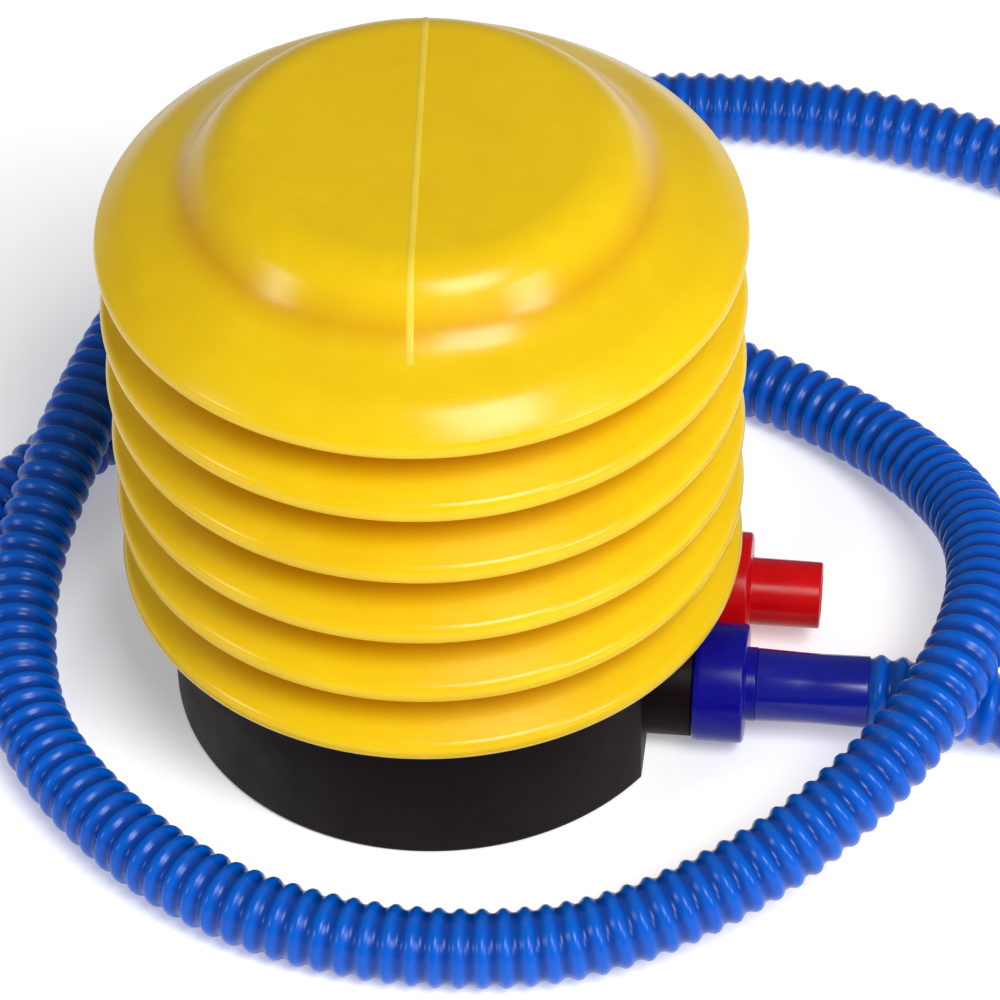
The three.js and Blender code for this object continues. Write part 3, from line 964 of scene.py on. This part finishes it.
        # Across the line: where each point lies, and its height, or None where it is sunk in the skin.
        section = (
            (-1.0, None), (-0.75, 0.1), (-0.4, 0.75), (0.0, 1.0), (0.4, 0.75), (0.75, 0.1), (1.0, None),
        )
        kept = [p for p in outer if p.x < self.seam_end]
        across = [Vector((-p.x, p.y)) for p in kept[:0:-1]] + kept
        bm = bmesh.new()
        before_ring = None
        for i, point in enumerate(across):
            way = (across[min(i + 1, len(across) - 1)] - across[max(i - 1, 0)]).normalized()
            up = Vector((-way.y, way.x))
            swell = min(1.0, (self.seam_end - abs(point.x)) / self.seam_fade)
            rim = [
                bm.verts.new(self._on_plane(
                    point + up * (-sunk if lift is None else height * lift * swell), offset * width, angle
                ))
                for offset, lift in section
            ]
            ring = [bm.edges.new(pair) for pair in zip(rim, rim[1:] + rim[:1])]
            if before_ring is None:
                bm.faces.new(rim)
            else:
                bmesh.ops.bridge_loops(bm, edges=before_ring + ring)
            before_ring = ring
        bmesh.ops.contextual_create(bm, geom=before_ring)
        bmesh.ops.recalc_face_normals(bm, faces=bm.faces)
        settle(piece_from(bm, "pad_mould_line", crease=80.0), "top", PALE_SEAM)

    @staticmethod
    def _on_plane(point: Vector, offset: float, angle: float) -> Vector:
        """Places a point of the mould's parting plane, and beside it by the offset, in metres."""
        along = Vector((math.cos(angle), math.sin(angle), 0.0))
        beside = Vector((-along.y, along.x, 0.0))
        return (along * -point.x + beside * offset + Vector((0.0, 0.0, point.y))) * MM

    def build_neck(self) -> None:
        """Builds the lower half of the lowest rim and the neck that the base holds."""
        foot, shelf = NodeBox.of("bellows_bottom_rim").low.z, NodeBox.of("base_cup").high.z + 0.3
        rim = self.rim_height(6)
        edge = self.half_rim(rim, up=False)
        outside, inside = self.neck_radius, self.neck_radius - self.skin
        corners = [
            Corner(edge[-1].x, edge[-1].y), Corner(outside + 1.6, shelf, 0.6), Corner(outside, shelf, 0.3),
            Corner(outside, foot, 0.3), Corner(inside, foot, 0.3), Corner(inside, shelf + self.skin, 1.0),
            Corner(self.rim_radius - self.tip - 2.0, rim - self.skin, 0.5),
            Corner(self.rim_radius - self.skin, rim),
        ]
        bm = revolve(edge[:-1] + outline(corners, closed=False, steps=4), True, self.steps)
        made = piece_from(bm, "bellows_neck", crease=60.0)
        settle(made, "base", YELLOW_SKIN, ("bellows_bottom_rim",))

    def build(self) -> None:
        """Builds the pad, the folds and the neck."""
        self.build_pad()
        for upper in range(1, 6):
            self.build_fold(upper)
        self.build_neck()


# ---------------- base and ports


@dataclass
class Base:
    """The black base: a round cup, flat on the ports' side, with its two port bosses.

    Args:
        wall: Thickness of the base's wall.
        floor: Thickness of its floor.
        foot_round: Rounding of the lower edge.
        flat_x: Where the flat side stands.
        flat_top: Height of the shelf over the flat side.
        boss_radius: Radius of the round boss behind each cap.
        boss_root: How far out the bosses begin, inside the wall.
        boss_face: How far out their faces stand.
        steps: Facets round the cup.
    """

    wall: float = 2.4
    floor: float = 2.6
    foot_round: float = 1.2
    flat_x: float = 42.0
    flat_top: float = 22.4
    boss_radius: float = 10.6
    boss_root: float = 36.0
    boss_face: float = 50.6
    steps: int = 160

    def body_outline(self) -> list[Vector]:
        """The outline of the round body, with the bead under the bellows and a shallow sole."""
        box = NodeBox.of("base_cup")
        radius, top = -box.low.x, box.high.z
        sole, under_bead = 0.5, radius - 0.15
        corners = [
            Corner(0.0, sole), Corner(radius - 9.0, sole, 0.3), Corner(radius - 8.4, 0.0, 0.2),
            Corner(under_bead, 0.0, self.foot_round), Corner(under_bead, top - 4.4, 0.3),
            Corner(radius, top - 4.0, 0.3), Corner(radius, top, 0.5), Corner(0.0, top),
        ]
        return outline(corners, closed=False, steps=6)

    def room_outline(self) -> list[Vector]:
        """The outline of the space inside the cup."""
        box = NodeBox.of("base_cup")
        inside, above = -box.low.x - self.wall, box.high.z + 1.0
        corners = [
            Corner(0.0, self.floor), Corner(inside, self.floor, 1.5), Corner(inside, above),
            Corner(0.0, above),
        ]
        return outline(corners, closed=False, steps=6)

    def trimmed(self, points: list[Vector], name: str, x: float, top: float) -> bpy.types.Object:
        """Turns an outline and cuts it flat on the ports' side.

        Args:
            points: The outline.
            name: The piece's name.
            x: Where the flat side stands.
            top: How high it goes.

        Returns:
            The trimmed solid.
        """
        made = piece_from(revolve(points, False, self.steps), name)
        half_width, depth, below = 60.0, 30.0, -5.0
        beyond = rounded_block(Vector((x, -half_width, below)), Vector((x + depth, half_width, top)), 0.3)
        carve(made, beyond, "DIFFERENCE")
        return made

    def build(self) -> None:
        """Builds the cup and its ports; the lid and its screws stay the frame's own."""
        made = self.trimmed(self.body_outline(), "base_cup_shell", self.flat_x, self.flat_top)
        room = self.trimmed(
            self.room_outline(), "cup_room", self.flat_x - self.wall, self.flat_top + self.wall
        )
        space = bmesh.new()
        space.from_mesh(room.data)
        bpy.data.objects.remove(room)
        carve(made, space, "DIFFERENCE")
        outlet, inlet = (NodeBox.of(node) for node in ("outlet_port_cap", "inlet_port_cap"))
        low = Vector((self.boss_root, outlet.centre.y, outlet.centre.z - self.boss_radius))
        high = Vector((self.boss_face - 0.6, inlet.centre.y, inlet.centre.z + self.boss_radius))
        carve(made, rounded_block(low, high, 0.5), "UNION")
        boss = (self.boss_radius, self.boss_root, self.boss_face)
        spigot = (9.6, self.boss_face - 2.0, 56.6)
        valve_chamber = (8.4, 44.0, 57.5)
        passage = (4.4, 34.0, 45.0)
        for cap in (outlet, inlet):
            for plug, how in (
                (boss, "UNION"), (spigot, "UNION"), (valve_chamber, "DIFFERENCE"), (passage, "DIFFERENCE"),
            ):
                carve(made, self._plug(*plug, on_port(cap)), how)
        soften(made, 0.35)
        settle(made, "base", BLACK_BASE, ("base_cup",))

    @staticmethod
    def _plug(radius: float, low: float, high: float, place: Matrix) -> bmesh.types.BMesh:
        """A plain cylinder on a port's line, to join or to cut with."""
        points = [Vector((0.0, low)), Vector((radius, low)), Vector((radius, high)), Vector((0.0, high))]
        return revolve(points, False, 64, place)


@dataclass
class Ports:
    """The inlet's and the outlet's screw caps, with the tubes that stand on them.

    Args:
        steps: Facets round a cap.
        thread_radius: Radius inside a cap.
        roof: How far out the inside of a cap ends.
    """

    steps: int = 96
    thread_radius: float = 9.9
    roof: float = 58.2

    def build_cap(
        self, node: str, name: str, face: float, tube: list[Corner], finish: Finish,
    ) -> None:
        """Builds one cap with the tube that stands on it.

        Args:
            node: The frame node that it stands for.
            name: The piece's name.
            face: How far out its end face lies.
            tube: The tube's outline, from its root round its mouth to its bore.
            finish: Its surface.
        """
        box = NodeBox.of(node)
        radius, low = box.size.z / 2, box.low.x
        corners = [
            Corner(self.thread_radius, low, 0.2), Corner(radius - 0.25, low, 0.4),
            Corner(radius, low + 1.2, 0.4), Corner(radius, face, 0.8), *tube,
            Corner(tube[-1].r, self.roof, 0.2), Corner(self.thread_radius, self.roof, 0.2),
        ]
        settle(turned(name, corners, True, self.steps, on_port(box)), "base", finish, (node,))

    def build(self) -> None:
        """Builds the inlet's cap with its plain open tube, and the outlet's with its collared tube."""
        face, mouth = 59.4, NodeBox.of("inlet_port_cap").high.x
        tube = [Corner(6.5, face, 0.5), Corner(6.4, mouth, 0.5), Corner(4.6, mouth, 0.5)]
        self.build_cap("inlet_port_cap", "inlet_cap", face, tube, RED_GLOSS)
        face, collar, mouth = 60.5, 62.5, NodeBox.of("outlet_port_cap").high.x
        tube = [
            Corner(7.0, face, 0.3), Corner(7.0, collar, 0.3), Corner(5.3, collar, 0.2),
            Corner(5.3, mouth, 0.4), Corner(3.9, mouth, 0.2),
        ]
        self.build_cap("outlet_port_cap", "outlet_cap", face, tube, NAVY_GLOSS)


@dataclass
class InnerWorks:
    """What the pump hides: the return spring is built anew, and the frame's other pieces are dressed.

    Args:
        turns: Turns of the spring.
        wire: Radius of its wire.
        sides: Facets round the wire.
        along: Facets along each turn.
    """

    turns: int = 6
    wire: float = 1.1
    sides: int = 10
    along: int = 36

    def build_spring(self) -> None:
        """Builds the coil that lifts the pad, which closes up as the bellows is pressed."""
        box = NodeBox.of("return_spring")
        radius = box.high.x - self.wire
        low, high = box.low.z + self.wire, box.high.z - self.wire
        count = self.turns * self.along
        bm = bmesh.new()
        ring = bmesh.ops.create_circle(
            bm, segments=self.sides, radius=self.wire * MM, cap_ends=False
        )["verts"]
        bmesh.ops.rotate(bm, verts=ring, cent=(0, 0, 0), matrix=Matrix.Rotation(math.pi / 2, 3, "X"))
        bmesh.ops.translate(bm, verts=ring, vec=(radius * MM, 0.0, low * MM))
        bmesh.ops.spin(
            bm, geom=list(bm.verts) + list(bm.edges), cent=(0, 0, 0), axis=(0, 0, 1),
            angle=FULL_TURN * self.turns, dvec=(0, 0, (high - low) * MM / count), steps=count,
            use_merge=False, use_normal_flip=False, use_duplicate=False,
        )
        bmesh.ops.holes_fill(bm, edges=[e for e in bm.edges if e.is_boundary], sides=self.sides)
        bmesh.ops.recalc_face_normals(bm, faces=bm.faces)
        coil = piece_from(bm, "return_coil", crease=60.0)
        made = settle(coil, "base", ZINC_STEEL, ("return_spring",))
        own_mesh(made)

    def dress(self) -> None:
        """Gives each frame node that stays its finish."""
        finishes = {
            BLACK_BASE: ["base_lid"],
            ZINC_STEEL: [f"lid_screw_{n}" for n in (1, 2, 3)],
            SOFT_RUBBER: ["inlet_gasket", "outlet_gasket", "inlet_valve_flap", "outlet_valve_flap"],
            MILKY_NYLON: ["inlet_valve_seat", "outlet_valve_seat", "spring_seat_lower", "spring_seat_upper"],
        }
        for node, finish in ((node, finish) for finish, nodes in finishes.items() for node in nodes):
            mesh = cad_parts[node].data
            mesh.materials.clear()
            mesh.materials.append(finish.material())
            LOG.info("dressed %s", node)

    def build(self) -> None:
        """Builds the spring and dresses the rest."""
        self.build_spring()
        self.dress()


# ---------------- studio


@dataclass(frozen=True)
class Softbox:
    """A square soft light that faces the pump.

    Args:
        name: The light's name.
        place_m: Where it hangs.
        size_m: Its side.
        power: Its power in watts.
    """

    name: str
    place_m: tuple[float, float, float]
    size_m: float
    power: float

    def hang(self) -> None:
        """Hangs the light."""
        data = bpy.data.lights.new(self.name, "AREA")
        data.shape, data.size, data.energy = "SQUARE", self.size_m, self.power
        light = bpy.data.objects.new(self.name, data)
        aim = PUMP_MIDDLE_M - Vector(self.place_m)
        turn = aim.to_track_quat("-Z", "Y").to_matrix().to_4x4()
        light.matrix_world = Matrix.Translation(self.place_m) @ turn
        bpy.context.scene.collection.objects.link(light)


SOFTBOXES = (
    Softbox("overhead_softbox", (0.42, -0.62, 1.04), 0.5, 11.0),
    Softbox("right_softbox", (0.87, -0.55, 0.54), 0.3, 3.5),
    Softbox("left_softbox", (-0.87, -0.5, 0.44), 0.22, 1.8),
)


@dataclass
class Studio:
    """Floor, light and camera.

    Args:
        azimuth: The camera's turn about the pump, in degrees; 0 looks along +Y.
        drop: How far the camera looks down, in degrees.
        roll: The camera's own roll, in degrees.
        place_m: Where the camera stands.
        lens: Focal length on a 36 mm sensor.
        glow: Light that the floor gives of itself.
        surround: Strength of the white surround.
    """

    azimuth: float = 7.5
    drop: float = 43.804
    roll: float = -1.38
    place_m: tuple[float, float, float] = (0.0973, -0.6412, 0.6645)
    lens: float = 172.8
    glow: float = 0.3
    surround: float = 0.25

    def build_camera(self) -> None:
        """Sets up the camera."""
        data = bpy.data.cameras.new("studio_camera")
        data.lens, data.sensor_width = self.lens, 36.0
        data.clip_start, data.clip_end = 0.05, 20.0
        camera = bpy.data.objects.new("studio_camera", data)
        turn = (
            Matrix.Rotation(math.radians(self.azimuth), 4, "Z")
            @ Matrix.Rotation(math.radians(90 - self.drop), 4, "X")
            @ Matrix.Rotation(math.radians(self.roll), 4, "Z")
        )
        camera.matrix_world = Matrix.Translation(self.place_m) @ turn
        bpy.context.scene.collection.objects.link(camera)
        bpy.context.scene.camera = camera

    def build_floor(self) -> None:
        """Lays a plain white floor, which glows a little."""
        bm = bmesh.new()
        half_side_m = 6.0
        bmesh.ops.create_grid(bm, x_segments=1, y_segments=1, size=half_side_m)
        floor = piece_from(bm, "studio_floor")
        paper = bpy.data.materials.new("white_paper")
        paper.use_nodes = True
        shader = paper.node_tree.nodes["Principled BSDF"]
        shader.inputs["Base Color"].default_value = srgb("#fbfbfb")
        shader.inputs["Roughness"].default_value = 0.9
        shader.inputs["Specular IOR Level"].default_value = 0.1
        shader.inputs["Emission Color"].default_value = WHITE
        shader.inputs["Emission Strength"].default_value = self.glow
        floor.data.materials.append(paper)

    def build_light(self) -> None:
        """Hangs the lights and sets a soft white surround."""
        for softbox in SOFTBOXES:
            softbox.hang()
        world = bpy.data.worlds.new("studio_surround")
        world.use_nodes = True
        sky = world.node_tree.nodes["Background"]
        sky.inputs["Color"].default_value = WHITE
        sky.inputs["Strength"].default_value = self.surround
        bpy.context.scene.world = world
        bpy.context.scene.view_settings.view_transform = "Standard"

    def build(self) -> None:
        """Sets up the whole studio."""
        self.build_camera()
        self.build_floor()
        self.build_light()


def main() -> None:
    """Builds the pump around the frame, piece by piece."""
    logging.basicConfig(level=logging.INFO, format="%(name)s: %(message)s")
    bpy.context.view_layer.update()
    Studio().build()
    Hose(Route(HOSE_ROUTE_M)).build()
    Bellows().build()
    Base().build()
    Ports().build()
    InnerWorks().build()


if __name__ == "__main__":
    main()
